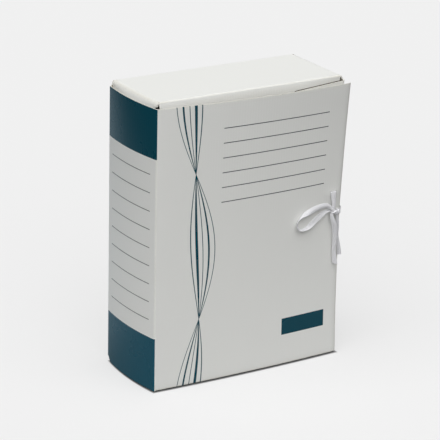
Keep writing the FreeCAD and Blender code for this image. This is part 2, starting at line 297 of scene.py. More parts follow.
def rawPaper(name, light, dark, fibre=0.02 * mm):
    # uncoated recycled paper with specks and long fibres
    material, graph = newMaterial(name)
    place = graph.objectPlace()
    stretched = graph.add("ShaderNodeMapping", {"Vector": place, "Scale": grain["streaks"]}).outputs[0]
    streak = graph.noise(stretched, 1.0)
    speck = graph.math("POWER", graph.noise(place, grain["specks"], 1.0), grain["speckPower"])
    streaked = graph.times(streak, grain["streakShare"])
    colour = graph.mix(graph.scaled(speck, grain["speckShare"], streaked), light, dark)
    height = graph.times(streak, fibre)
    surface(graph, colour, grain["roughness"], height, specular=grain["specular"])
    return material


outerWhite = linerMaterial("white_liner")
outerCover = linerMaterial("printed_cover", coverPrint)
outerSpine = linerMaterial("printed_spine", spinePrint)
innerGrey = rawPaper("inner_liner", (0.62, 0.59, 0.51, 1), (0.42, 0.38, 0.31, 1))
flutePaper = rawPaper("fluting_paper", (0.82, 0.81, 0.76, 1), (0.72, 0.70, 0.64, 1))
# near-black paper, a painted shadow for the fore-edge flange's fluting and cut edges
paintedShadowPaper = rawPaper("brown_fluting", (0.07, 0.055, 0.04, 1), (0.04, 0.03, 0.02, 1))
cutWhite = rawPaper("cut_edge", (0.84, 0.83, 0.79, 1), (0.74, 0.72, 0.66, 1))
patchWhite = rawPaper("patch_paper", (0.74, 0.73, 0.69, 1), (0.62, 0.60, 0.55, 1), 0.01 * mm)
boardFinish = {"white": outerWhite, "cover": outerCover, "spine": outerSpine}
print("papers and inks ready")


# how far each kind of fold reaches into the panels beside it
reach = {"back": 1.2 * mm, "cover": 1.4 * mm, "flange": 1.4 * mm, "tuck": 1.1 * mm, "ear": 4.0 * mm}

# board: two liners on a fluted paper, built from an outline and a place for each point
cutEdge = {"steps": (0, 0.4 * mm, 1.0 * mm, 1.8 * mm), "room": 8, "crush": 0.22 * mm, "wear": 3.0 * mm,
           "noneNear": 1.0}
sharpAngle = math.radians(42)
depsgraph = bpy.context.evaluated_depsgraph_get


def unit(value):
    return min(1, max(0, value))


def spread(low, high, count, stops=()):
    # values from low to high, close together at both ends, with the stops among them
    steps = cutEdge["steps"]
    fixed = [low + step for step in steps] + [high - step for step in steps] + list(stops)
    gap = (high - low) / count / 2
    even = [low + (high - low) * k / count for k in range(count + 1)]
    loose = [value for value in even if min(abs(value - stop) for stop in fixed) > gap]
    values = []
    for value in sorted(fixed + loose):
        if not values or value - values[-1] > 10 * weld:
            values.append(value)
    return values


def alongColumn(panel, a):
    # places along one flute, from one cut end to the other
    low, high = panel["span"](a)
    if panel.get("stops"):
        return spread(low, high, panel["rows"], panel["stops"])
    squeeze = min(1, (high - low) / (cutEdge["room"] * cutEdge["steps"][-1]))
    steps = [step * squeeze for step in cutEdge["steps"]]
    inner = high - low - 2 * steps[-1]
    middle = [low + steps[-1] + inner * k / panel["rows"] for k in range(1, panel["rows"])]
    return [low + step for step in steps] + middle + [high - step for step in reversed(steps)]


def edgeDistance(panel, a, l):
    # distance to the nearest cut edge; creased edges don't count
    low, high = panel["span"](a)
    first, last = panel["across"]
    sides = {"first": a - first, "last": last - a, "low": l - low, "high": high - l}
    return min((sides[name] for name in panel["cut"]), default=cutEdge["noneNear"])


def inHole(panel, a, l):
    # whether a place lies in the panel's slit, if it has one
    first, last, low, high = panel.get("hole", (0, 0, 0, 0))
    return first < a < last and low < l < high


def closeSheet(bm, top, under, keep, slots):
    # two facing grids of points, with rims where cells end, as one closed sheet
    rows, columns = len(top) - 1, len(top[0]) - 1
    sides = ((0, -1), (1, 0), (0, 1), (-1, 0))
    for i in range(rows):
        for j in range(columns):
            if not keep(i, j):
                continue
            corners = ((i, j), (i + 1, j), (i + 1, j + 1), (i, j + 1))
            faces = [([top[r][c] for r, c in corners], slots[0]),
                     ([under[r][c] for r, c in reversed(corners)], slots[1])]
            for k, (down, across) in enumerate(sides):
                r, c = i + down, j + across
                if 0 <= r < rows and 0 <= c < columns and keep(r, c):
                    continue
                (r1, c1), (r2, c2) = corners[k], corners[(k + 1) % 4]
                faces.append(([top[r2][c2], top[r1][c1], under[r1][c1], under[r2][c2]], slots[2]))
            for points, slot in faces:
                bm.faces.new(points).material_index = slot


def settle(name, bm, materials):
    # clean a mesh, turn its faces outwards and put it in the scene
    bmesh.ops.remove_doubles(bm, verts=bm.verts, dist=weld)
    bmesh.ops.delete(bm, geom=[v for v in bm.verts if not v.link_faces], context="VERTS")
    bmesh.ops.recalc_face_normals(bm, faces=bm.faces)
    mesh = bpy.data.meshes.new(name)
    bm.to_mesh(mesh)
    bm.free()
    for material in materials:
        mesh.materials.append(material)
    mesh.shade_smooth()
    mesh.set_sharp_from_angle(angle=sharpAngle)
    piece = bpy.data.objects.new(name, mesh)
    scene.collection.objects.link(piece)
    return piece


def settlePart(name, bm, materials, body, nodes):
    # a settled piece that rides on one body and stands for some of the solids
    piece = settle(name, bm, materials)
    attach(piece, body)
    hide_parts(*nodes)
    return piece


def flutingTree():
    # geometry nodes: a flat grid swayed along its normals into flutes, then given the paper's thickness
    tree = bpy.data.node_groups.new("fluting", "GeometryNodeTree")
    tree.interface.new_socket("Geometry", in_out="INPUT", socket_type="NodeSocketGeometry")
    for size in ("Pitch", "Wave", "Paper"):
        tree.interface.new_socket(size, in_out="INPUT", socket_type="NodeSocketFloat")
    tree.interface.new_socket("Material", in_out="INPUT", socket_type="NodeSocketMaterial")
    tree.interface.new_socket("Geometry", in_out="OUTPUT", socket_type="NodeSocketGeometry")
    graph = Graph(tree)
    given = graph.add("NodeGroupInput").outputs
    named = [graph.add("GeometryNodeInputNamedAttribute", {"Name": name}, data_type="FLOAT")
             for name in ("across", "opened")]
    across, opened = (node.outputs[0] for node in named)
    turn = graph.times(graph.over(across, given["Pitch"]), math.tau)
    sway = graph.times(graph.math("SINE", turn), graph.times(given["Wave"], 0.5))
    halfPaper = graph.times(given["Paper"], 0.5)
    sway = graph.minus(graph.times(sway, opened), halfPaper)
    normal = graph.add("GeometryNodeInputNormal").outputs[0]
    offset = graph.add("ShaderNodeVectorMath", {0: normal, "Scale": sway}, operation="SCALE").outputs[0]
    moving = {"Geometry": given["Geometry"], "Offset": offset}
    swayed = graph.add("GeometryNodeSetPosition", moving).outputs[0]
    front = graph.add("GeometryNodeExtrudeMesh", {"Mesh": swayed, "Offset Scale": given["Paper"],
                                                  "Individual": False}, mode="FACES").outputs[0]
    back = graph.add("GeometryNodeFlipFaces", {"Mesh": swayed}).outputs[0]
    joined = graph.add("GeometryNodeJoinGeometry", {0: front})
    tree.links.new(back, joined.inputs[0])
    merging = {"Geometry": joined.outputs[0], "Distance": weld}
    closed = graph.add("GeometryNodeMergeByDistance", merging).outputs[0]
    real = graph.add("GeometryNodeRealizeInstances", {0: closed}).outputs[0]
    painting = {"Geometry": real, "Material": given["Material"]}
    painted = graph.add("GeometryNodeSetMaterial", painting).outputs[0]
    graph.add("NodeGroupOutput", {0: painted})
    return tree


def grownMesh(base, tree, values):
    # the plain mesh that a geometry nodes tree makes of a base mesh
    holder = bpy.data.objects.new("grown", base)
    scene.collection.objects.link(holder)
    modifier = holder.modifiers.new("grow", "NODES")
    modifier.node_group = tree
    for socket in tree.interface.items_tree:
        if socket.in_out == "INPUT" and socket.name in values:
            modifier[socket.identifier] = values[socket.name]
    mesh = bpy.data.meshes.new_from_object(holder.evaluated_get(depsgraph()))
    holder.modifiers.remove(modifier)
    bpy.data.objects.remove(holder)
    bpy.data.meshes.remove(base)
    return mesh


flutes = flutingTree()


def flutedPaper(panel):
    # the wavy paper between the liners
    wave = board - 2 * fluting["liner"] - fluting["paper"]
    low, high = panel["across"]
    count = round((high - low) / fluting["pitch"] * fluting["segments"])
    columns = [low + (high - low) * k / count for k in range(count + 1)]
    bm = bmesh.new()
    across = bm.verts.layers.float.new("across")
    opened = bm.verts.layers.float.new("opened")
    grid = []
    for a in columns:
        grid.append([])
        for l in alongColumn(panel, a):
            near = max(0, 1 - edgeDistance(panel, a, l) / cutEdge["steps"][-1])
            vertex = bm.verts.new(panel["place"](a, l, half))
            vertex[across] = a
            vertex[opened] = 1 - 2 * cutEdge["crush"] * near ** 2 / wave
            grid[-1].append((vertex, a, l))
    for first, second in zip(grid, grid[1:]):
        for k in range(len(first) - 1):
            cell = (first[k], second[k], second[k + 1], first[k + 1])
            a = sum(corner[1] for corner in cell) / 4
            l = sum(corner[2] for corner in cell) / 4
            if not inHole(panel, a, l):
                bm.faces.new([corner[0] for corner in cell])
    bmesh.ops.remove_doubles(bm, verts=bm.verts, dist=weld)
    base = bpy.data.meshes.new("flutes")
    bm.to_mesh(base)
    bm.free()
    return grownMesh(base, flutes, {"Pitch": fluting["pitch"], "Wave": wave, "Paper": fluting["paper"],
                                    "Material": flutePaper})


def boardPanel(panel):
    # one panel of the blank: outer liner, fluted paper, inner liner
    bm = bmesh.new()
    across = bm.verts.layers.float.new("across")
    wearAndShade = bm.verts.layers.float.new("cutEdge")
    printed = bm.verts.layers.float.new("printed")
    low, high = panel["across"]
    columns = spread(low, high, panel["columns"], panel.get("columnStops", ()))
    paper = fluting["liner"]
    along = [alongColumn(panel, a) for a in columns]
    for top, under, slots in ((0, paper, (0, 2, 3)), (board - paper, board, (2, 1, 3))):
        grids = ([], [])
        for a, places in zip(columns, along):
            for grid, depth in zip(grids, (top, under)):
                grid.append([])
                for l in places:
                    away = edgeDistance(panel, a, l)
                    squeeze = cutEdge["crush"] * max(0, 1 - away / cutEdge["steps"][-1]) ** 2
                    inwards = squeeze if top == 0 else -squeeze
                    vertex = bm.verts.new(panel["place"](a, l, depth + inwards))
                    vertex[across] = a
                    vertex[wearAndShade] = max(0, 1 - away / cutEdge["wear"])
                    vertex[printed] = 1
                    grid[-1].append(vertex)

        def keep(i, j):
            a = (columns[i] + columns[i + 1]) / 2
            return not inHole(panel, a, (along[i][j] + along[i][j + 1]) / 2)

        closeSheet(bm, grids[0], grids[1], keep, slots)
    plain = len(bm.faces)
    medium = flutedPaper(panel)
    bm.from_mesh(medium)
    bpy.data.meshes.remove(medium)
    bm.faces.ensure_lookup_table()
    for face in bm.faces[plain:]:
        face.material_index = 2
    raw = panel.get("raw", (flutePaper, cutWhite))
    finish = panel["finish"]
    materials = [boardFinish[finish], innerGrey, *raw]
    return settlePart(panel["name"], bm, materials, panel["body"], [panel["node"]])


# folds: the board bent round each crease
fold = {"steps": 10, "handle": 0.385, "inward": 1.0 * mm, "stripStations": 33, "endStations": 9, "ink": 0.15,
        "earClear": 0.3 * mm}


def crease(panel, edge, acrossFlutes=False):
    # a panel's first or last end, at a fold that runs along its flutes or across them
    end = (panel["span"](0) if acrossFlutes else panel["across"])[edge]
    behind = end + (fold["inward"], -fold["inward"])[edge]

    def at(station):
        def point(place, depth):
            a, l = (station, place) if acrossFlutes else (place, station)
            return panel["place"](a, l, depth)

        middle = point(end, half)
        return middle, (middle - point(behind, half)).normalized(), (point(end, 0) - middle).normalized()

    return at


def foldStrip(name, edges, stations, finish="white", printed=lambda turn: 1, rubbed=0,
              stretch=(0, 0)):
    # a share of painted shade darkens the middle of the bend toward the liner's edge colour; stretch pulls
    # its second half out past the first and last station
    bm = bmesh.new()
    ahead = (edges[0](stations[-1])[0] - edges[0](stations[0])[0]).normalized()
    pulls = {stations[0]: ahead * -stretch[0], stations[-1]: ahead * stretch[1]}
    bm.verts.layers.float.new("across")
    wearAndShade = bm.verts.layers.float.new("cutEdge")
    inked = bm.verts.layers.float.new("printed")
    outer, inner = [], []
    for station in stations:
        (start, leave, out), (end, arrive, endOut) = edges[0](station), edges[1](station)
        handle = (end - start).length * fold["handle"]
        hull = (start, start + leave * handle, end + arrive * handle, end)
        outer.append([])
        inner.append([])
        for k in range(fold["steps"] + 1):
            # a smooth curve from one edge to the other
            t = k / fold["steps"]
            shares = ((1 - t) ** 3, 3 * t * (1 - t) ** 2, 3 * t * t * (1 - t), t ** 3)
            middle = sum((point * share for point, share in zip(hull, shares)), Vector())
            middle += pulls.get(station, Vector()) * math.sin(math.pi * min(t, 0.5))
            normal = (out * (1 - t) + endOut * t).normalized() if 0 < t < 1 else (endOut if t else out)
            away = min(abs(station - stations[0]), abs(station - stations[-1]))
            for grid, depth in ((outer, half), (inner, -half)):
                vertex = bm.verts.new(middle + normal * depth)
                # wear near the strip's cut ends, and painted shade across the middle of the bend
                vertex[wearAndShade] = max(0, 1 - away / cutEdge["wear"], rubbed * math.sin(math.pi * t))
                vertex[inked] = printed(t)
                grid[-1].append(vertex)
    closeSheet(bm, outer, inner, lambda i, j: True, (0, 1, 2))
    piece = settle(name, bm, [boardFinish[finish], innerGrey, cutWhite])
    middle = stations[len(stations) // 2]
    (start, leave, out), (end, arrive, endOut) = edges[0](middle), edges[1](middle)
    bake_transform(piece)
    return piece


def stationsBetween(low, high, count):
    return [low + (high - low) * k / (count - 1) for k in range(count)]


# back panel, notched at its corners
backPanel = {"name": "back_board", "body": "tray_back", "node": "back_panel", "finish": "white",
             "columns": 40, "rows": 12, "across": (spineX + reach["back"], foreX - reach["back"]),
             "cut": ("low", "high"), "notch": 2.0 * mm,
             "notchSteps": (-0.05 * mm, 0, 0.15 * mm, 0.4 * mm, 0.8 * mm),
             "push": (2.2 * mm, 1.2 * mm), "pushReach": 30.0 * mm}


def backSpan(a):
    beyond = abs(a) - earX
    if beyond < 0:
        return half + reach["back"], headZ - reach["back"]
    notch = backPanel["notch"]
    rise = notch - math.sqrt(max(0, notch ** 2 - max(0, notch - beyond) ** 2))
    return stripLow - min(rise, stripLow - half - reach["back"]), stripHigh + rise


def spinePush(z):
    # how far the spine's back edge stands out
    foot, head = backPanel["push"]
    return foot + (head - foot) * z / boxTop


def backPlace(a, l, d):
    near = unit((backPanel["pushReach"] - a + spineX) / backPanel["pushReach"])
    return Vector((a - spinePush(l) * near, backY + half - d, l))


backPanel["span"] = backSpan
backPanel["place"] = backPlace
backPanel["columnStops"] = [side * (earX + step) for side in (-1, 1) for step in backPanel["notchSteps"]]

# spine, bowed outwards
spinePanel = {"name": "spine_board", "body": "spine", "node": "spine", "finish": "spine", "columns": 36,
              "rows": 6, "bow": 4.5 * mm, "cut": ("low", "high"), "cornerWidth": 7.0 * mm,
              "cornerHeight": 6.5 * mm, "cornerShares": (0.3, 0.65, 1)}
spineChord = backY - coverY
spineRadius = (spineChord ** 2 / 4 + spinePanel["bow"] ** 2) / (2 * spinePanel["bow"])
spineSwing = math.asin(spineChord / 2 / spineRadius)
spineMiddle = Vector((spineX - spinePanel["bow"] + spineRadius, (backY + coverY) / 2, 0))


def spinePlace(a, l, d):
    # a runs along the bow from the back crease to the cover's crease
    swing = spineSwing - a / spineRadius
    radius = spineRadius + half - d
    push = spinePush(l) * max(0, 1 - a / (2 * spineSwing * spineRadius))
    return spineMiddle + Vector((-radius * math.cos(swing) - push, radius * math.sin(swing), l))


def spineSpan(a):
    # the lower back corner is cut off
    cut = max(0, 1 - (a - reach["back"]) / spinePanel["cornerWidth"])
    return stripLow + spinePanel["cornerHeight"] * cut, stripHigh


spinePanel["place"] = spinePlace
spinePanel["span"] = spineSpan
spinePanel["columnStops"] = [reach["back"] + spinePanel["cornerWidth"] * share
                             for share in spinePanel["cornerShares"]]
spinePanel["across"] = (reach["back"], 2 * spineSwing * spineRadius - reach["cover"])

# cover: bowed, flared at its upper corner, drawn in at the tie, its free edge curled back
coverPanel = {"name": "cover_board", "body": "cover", "node": "front_cover", "finish": "cover", "columns": 64,
              "rows": 40, "across": (spineX + reach["cover"], coverEdgeX), "cut": ("last", "low", "high"),
              "bows": (3.0 * mm, 4.0 * mm, 5.5 * mm), "flares": (2.3 * mm, 1.4 * mm, 12.6 * mm),
              "curl": 1.1 * mm, "curlWidth": 6.0 * mm, "pinch": 0.9 * mm, "pinchReach": 26.0 * mm,
              "pinchSquash": 0.8, "lip": 0.8 * mm, "lipReach": 5.0 * mm, "footGap": 0.5 * mm,
              "edgeStops": (4 * mm, 6 * mm), "slitStops": (-6 * mm, -3 * mm, 3 * mm, 6 * mm)}
slit = {"aboveTie": 23.5 * mm, "inset": 12.4 * mm, "length": 8.8 * mm, "width": 1.4 * mm}
slitX = coverEdgeX - slit["inset"]
slitZ = tieZ + slit["aboveTie"]


def atLevels(values, z):
    # a smooth value through the three levels: foot, tie and head
    levels = (stripLow, tieZ, stripHigh)
    total = 0
    for i, value in enumerate(values):
        share = 1
        for j, level in enumerate(levels):
            if i != j:
                share *= (z - level) / (levels[i] - level)
        total += share * value
    return total


def bump(distance, width):
    return math.exp(-(distance / width) ** 2)


def coverOuter(x, z):
    # the cover's outer face
    share = (x - spineX) / (coverEdgeX - spineX)
    bow = 4 * atLevels(coverPanel["bows"], z) * share * (1 - share)
    y = coverY - half - atLevels(coverPanel["flares"], z) * share - bow
    curl = max(0, 1 - (coverEdgeX - x) / coverPanel["curlWidth"])
    y += coverPanel["curl"] * curl ** 2
    away = math.hypot(x - knotAt.x, (z - tieZ) * coverPanel["pinchSquash"])
    y += coverPanel["pinch"] * bump(away, coverPanel["pinchReach"])
    slitAway = math.hypot(max(0, abs(x - slitX) - slit["length"] / 2), z - slitZ + slit["width"])
    return y - coverPanel["lip"] * bump(slitAway, coverPanel["lipReach"])


coverPanel["span"] = lambda a: (stripLow + coverPanel["footGap"], stripHigh)
coverPanel["place"] = lambda a, l, d: Vector((a, coverOuter(a, l) + d, l))
coverPanel["hole"] = (slitX - slit["length"] / 2, slitX + slit["length"] / 2,
                      slitZ - slit["width"] / 2, slitZ + slit["width"] / 2)
coverPanel["columnStops"] = list(coverPanel["hole"][:2])
coverPanel["columnStops"] += [coverEdgeX - inset for inset in coverPanel["edgeStops"]]
coverPanel["stops"] = list(coverPanel["hole"][2:]) + [slitZ + rise for rise in coverPanel["slitStops"]]

# fore-edge wall, with the slit of the tray's tape
traySlit = {"depth": 50.0 * mm, "rise": 1.4 * mm}
traySlitY = coverY + traySlit["depth"]
trayTapeZ = tieZ + traySlit["rise"]
foreWall = {"name": "fore_edge_board", "body": "fore_edge", "node": "fore_edge_wall", "finish": "white",
            "columns": 24, "rows": 12, "across": (foreFlangeY + reach["flange"], backY - reach["back"]),
            "cut": ("low", "high"), "span": lambda a: (stripLow, stripHigh),
            "place": lambda a, l, d: Vector((foreX + half - d, a, l)),
            "hole": (traySlitY - slit["width"] / 2, traySlitY + slit["width"] / 2,
                     trayTapeZ - slit["length"] / 2, trayTapeZ + slit["length"] / 2)}
foreWall["columnStops"] = list(foreWall["hole"][:2])
foreWall["stops"] = list(foreWall["hole"][2:])


def flapCorner(flap):
    # a flap's taper and tip radius, and where the tip's round starts from the flap's middle
    angle, radius = math.radians(flap["taper"]), flap["corner"]
    middle = flap["half"] - (flap["depth"] - radius) * math.tan(angle) - radius / math.cos(angle)
    return angle, radius, middle


def flapSide(depth, flap):
    # half the width of a tapered flap with rounded tips, at a depth from its crease
    angle, radius, middle = flapCorner(flap)
    if depth <= flap["depth"] - radius + radius * math.sin(angle):
        return flap["half"] - depth * math.tan(angle)
    return middle + math.sqrt(max(0, radius ** 2 - (depth - flap["depth"] + radius) ** 2))


def flapTip(offset, flap):
    # how deep a tapered flap reaches, at an offset from its middle
    angle, radius, middle = flapCorner(flap)
    if offset <= middle:
        return flap["depth"]
    if offset < middle + radius * math.cos(angle):
        return flap["depth"] - radius + math.sqrt(max(0, radius ** 2 - (offset - middle) ** 2))
    return max(0, (flap["half"] - offset) / math.tan(angle))


# fore-edge flange, tapered, behind the cover; its fluting and cut edges are near black, a painted shadow of
# the gap in front of the top's front flange
foreFlap = {"depth": flangeHigh.x - flangeLow.x, "half": (stripHigh - stripLow) / 2, "taper": 3.6,
            "corner": 2.5 * mm, "tipStops": (2.4 * mm, 3.4 * mm, 4.8 * mm)}
foreFlange = {"name": "fore_flange_board", "body": "fore_flange", "node": "fore_edge_flange",
              "finish": "white", "columns": 16, "rows": 10, "across": (flangeLow.x, foreX - reach["flange"]),
              "cut": ("first", "low", "high"), "spring": 1.0 * mm, "bevel": 0.6 * mm,
              "raw": (paintedShadowPaper, paintedShadowPaper),
              "columnStops": [flangeLow.x + step for step in foreFlap["tipStops"]]}


def foreFlangeSpan(a):
    side = flapSide(flangeHigh.x - a, foreFlap)
    middle = (stripHigh + stripLow) / 2
    return middle - side, middle + side


def foreFlangePlace(a, l, d):
    # sprung forward into the room behind the cover, its upper edge cut on the slant
    spring = foreFlange["spring"] * max(0, flangeHigh.x - a) / foreFlap["depth"]
    near = max(0, 1 - (foreFlangeSpan(a)[1] - l) / cutEdge["wear"])
    return Vector((a, foreFlangeY - half + d - spring, l - foreFlange["bevel"] * near * (1 - d / board)))


foreFlange["span"] = foreFlangeSpan
foreFlange["place"] = foreFlangePlace

# top wall, its front flange and its two ears; the bottom ones are the same turned over
tuckLow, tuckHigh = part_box("top_flange")
earLow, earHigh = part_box("top_fore_ear")
tuckFlap = {"depth": underHeadZ - tuckLow.z, "half": tuckHigh.x, "taper": 8.0, "corner": 10.0 * mm,
            "least": 0.01 * mm, "tipStops": (4.5 * mm, 5.6 * mm, 6.2 * mm, 7.0 * mm, 8.2 * mm, 10.0 * mm,
                                             12.2 * mm, 15.0 * mm)}
earMiddle = (earLow.y + earHigh.y) / 2
earFront = {"depth": underHeadZ - earLow.z, "half": earMiddle - earLow.y, "taper": 15.0, "corner": 8.0 * mm}
earBack = {"depth": underHeadZ - earLow.z, "half": earHigh.y - earMiddle, "taper": 4.0, "corner": 8.0 * mm}
earTipStops = (2.6 * mm, 3.8 * mm, 5.4 * mm, 7.6 * mm)
tuckMidY = tuckY - half
earMidX = earX + half
topLift = 0.9 * mm      # the top stands a little higher at the spine
earShoulder = {"out": 2.0 * mm, "start": 3.2 * mm, "length": 1.2 * mm}
earBelly = {"out": 2.6 * mm, "depth": 10.0 * mm, "fade": 20.0 * mm}
tuckBelly = {"forward": 1.4 * mm, "depth": 9.0 * mm, "fade": 22.0 * mm, "side": 45.0 * mm}


def belly(depth, form):
    # a bulge that grows down to a depth under the fold, then fades
    rise = math.sin(unit(depth / form["depth"]) * math.pi / 2)
    return rise * (1 + math.cos(math.pi * unit((depth - form["depth"]) / form["fade"]))) / 2


def tuckForward(a, l):
    # how far the front flange presses forward, most a little under its fold
    return tuckBelly["forward"] * belly(headZ - l, tuckBelly) * unit((tuckHigh.x - a) / tuckBelly["side"])


def earOutward(a, l, side):
    # how far an ear presses out into the bowed spine
    along = max(0, 1 - (2 * l / (earHigh.y - earLow.y)) ** 2)
    return earBelly["out"] * belly(headZ - a, earBelly) * along * (side < 0)


def endPanels(end, level):
    # end is top or bottom; level gives the real height of a place and height measured at the top
    wall = {"name": end + "_board", "body": end, "node": end + "_wall", "finish": "white", "columns": 36,
            "rows": 8, "across": (-earMidX + reach["ear"], earMidX - reach["ear"]), "cut": (),
            "span": lambda a: (tuckMidY + reach["tuck"], backY - reach["back"]),
            "place": lambda a, l, d: Vector((a, l, level(a, boxTop - d)))}
    tuck = {"name": end + "_tuck_board", "body": end + "_tuck", "node": end + "_flange", "finish": "white",
            "columns": 40, "rows": 14, "across": (-tuckHigh.x, tuckHigh.x), "cut": ("low",),
            "span": lambda a: (underHeadZ - flapTip(abs(a), tuckFlap) - tuckFlap["least"],
                               headZ - reach["tuck"]),
            "place": lambda a, l, d: Vector((a, tuckMidY - half + d - tuckForward(a, l), level(a, l))),
            "columnStops": [side * (tuckHigh.x - step) for side in (-1, 1) for step in tuckFlap["tipStops"]]}
    panels = [wall, tuck]
    for side, word in ((-1, "spine"), (1, "fore")):
        def span(a):
            depth = underHeadZ - a
            beyond = (depth - earShoulder["start"]) / earShoulder["length"]
            shoulder = earShoulder["out"] * unit(1 - beyond)
            return earMiddle - flapSide(depth, earFront) - shoulder, earMiddle + flapSide(depth, earBack)

        def place(a, l, d, side=side):
            out = earMidX + half - d + earOutward(a, l, side)
            return Vector((side * out, l, level(side * earMidX, a)))

        panels.append({"name": f"{end}_{word}_ear_board", "body": f"{end}_ear_{word}",
                       "node": f"{end}_{word}_ear", "finish": "white", "columns": 20, "rows": 16,
                       "across": (earLow.z, headZ - reach["ear"]), "cut": ("first", "low", "high"),
                       "span": span, "place": place,
                       "columnStops": [earLow.z + step for step in earTipStops]})
    return panels


topPanels = endPanels("top", lambda x, z: z + topLift * (0.5 - x / (2 * earMidX)))
bottomPanels = endPanels("bottom", lambda x, z: boxTop - z)
for panel in [backPanel, spinePanel, coverPanel, foreWall, foreFlange] + topPanels + bottomPanels:
    made = boardPanel(panel)
    print("board", made.name, len(made.data.polygons), "faces")

# folds along the spine and the fore-edge
strip = stationsBetween(stripLow, stripHigh, fold["stripStations"])
cutStrip = stationsBetween(spineSpan(reach["back"])[0], stripHigh, fold["stripStations"])
foldStrip("fold_spine", (crease(backPanel, 0), crease(spinePanel, 0)), cutStrip,
          "spine", lambda turn: fold["ink"] + turn)
# the cover's fold has painted shade along its bend, dulling its highlight
foldStrip("fold_cover", (crease(spinePanel, 1), crease(coverPanel, 0)), strip,
          "spine", lambda turn: fold["ink"] + 1 - turn, rubbed=0.7)
foldStrip("fold_fore_edge", (crease(backPanel, 1), crease(foreWall, 1)), strip)
foldStrip("fold_fore_flange", (crease(foreWall, 0), crease(foreFlange, 1)),
          strip)

# folds round the top and bottom walls
for end, backEdge, (wall, tuck, *ears) in (("top", 1, topPanels), ("bottom", 0, bottomPanels)):
    foldStrip(f"fold_{end}", (crease(backPanel, backEdge, True), crease(wall, 1, True)),
              stationsBetween(-earX, earX, fold["endStations"]))
    # the front flange's fold has painted shade along its bend, dulling its highlight
    foldStrip(f"fold_{end}_tuck", (crease(wall, 0, True), crease(tuck, 1, True)),
              stationsBetween(-tuckHigh.x, tuckHigh.x, fold["endStations"]), rubbed=0.8)
    for edge, word in enumerate(("spine", "fore")):
        # the ears' folds have painted shade along their bends
        foldStrip(f"fold_{end}_{word}_ear",
                  (crease(wall, edge), crease(ears[edge], 1)),
                  stationsBetween(earLow.y, earHigh.y, fold["endStations"]), rubbed=1.0,
                  stretch=(earShoulder["out"], backY + fold["earClear"] - earHigh.y))
print("folds made")


# tapes: woven cotton, each on one smooth route
tape = {"width": 8.0 * mm, "thick": 0.6 * mm, "segments": 16, "smooth": 10, "pleats": 1.0, "selvedge": 0.3,
        "selvedgeFrom": 0.8, "rim": 0.45, "rimSlope": 6, "rib": 0.55 * mm, "pick": 0.62 * mm,
        "white": (0.86, 0.86, 0.88, 1), "shade": (0.76, 0.76, 0.79, 1), "weaveTone": 0.18, "fuzzTone": 0.7,
        "fuzzScale": 2200.0, "weaveHeight": 0.05 * mm, "fuzzHeight": 0.03 * mm, "roughness": 0.85,
        "specular": 0.15, "sheen": 0.25}


def cottonMaterial():
    # plain weave on the tape's own map: metres across and along
    material, graph = newMaterial("cotton_tape")
    weaveMap = graph.add("ShaderNodeUVMap", uv_map="weave").outputs[0]
    across, along, flat = graph.split(weaveMap)
    warp = graph.math("SINE", graph.times(across, math.tau / tape["rib"]))
    weft = graph.math("SINE", graph.times(along, math.tau / tape["pick"]))
    weave = graph.times(warp, weft)
    fuzz = graph.noise(graph.objectPlace(), tape["fuzzScale"])
    tone = graph.scaled(weave, tape["weaveTone"], graph.times(fuzz, tape["fuzzTone"]))
    colour = graph.mix(graph.larger(tone, 0.0), tape["white"], tape["shade"])
    fuzzRise = graph.times(fuzz, tape["fuzzHeight"])
    height = graph.scaled(weave, tape["weaveHeight"], fuzzRise)
    surface(graph, colour, tape["roughness"], height, specular=tape["specular"], sheen=tape["sheen"])
    return material


cotton = cottonMaterial()


def nurbsLine(points):
    # points along the smooth line that a route's control points pull
    curve = bpy.data.curves.new("route", "CURVE")
    curve.dimensions = "3D"
    curve.resolution_u = tape["smooth"]
    spline = curve.splines.new("NURBS")
    spline.points.add(len(points) - 1)
    for control, point in zip(spline.points, points):
        control.co = (*point, 1)
    spline.order_u = 3
    spline.use_endpoint_u = True
    holder = bpy.data.objects.new("route", curve)
    scene.collection.objects.link(holder)
    mesh = bpy.data.meshes.new_from_object(holder.evaluated_get(depsgraph()))
    line = [vertex.co.copy() for vertex in mesh.vertices]
    bpy.data.objects.remove(holder)
    bpy.data.curves.remove(curve)
    bpy.data.meshes.remove(mesh)
    return line


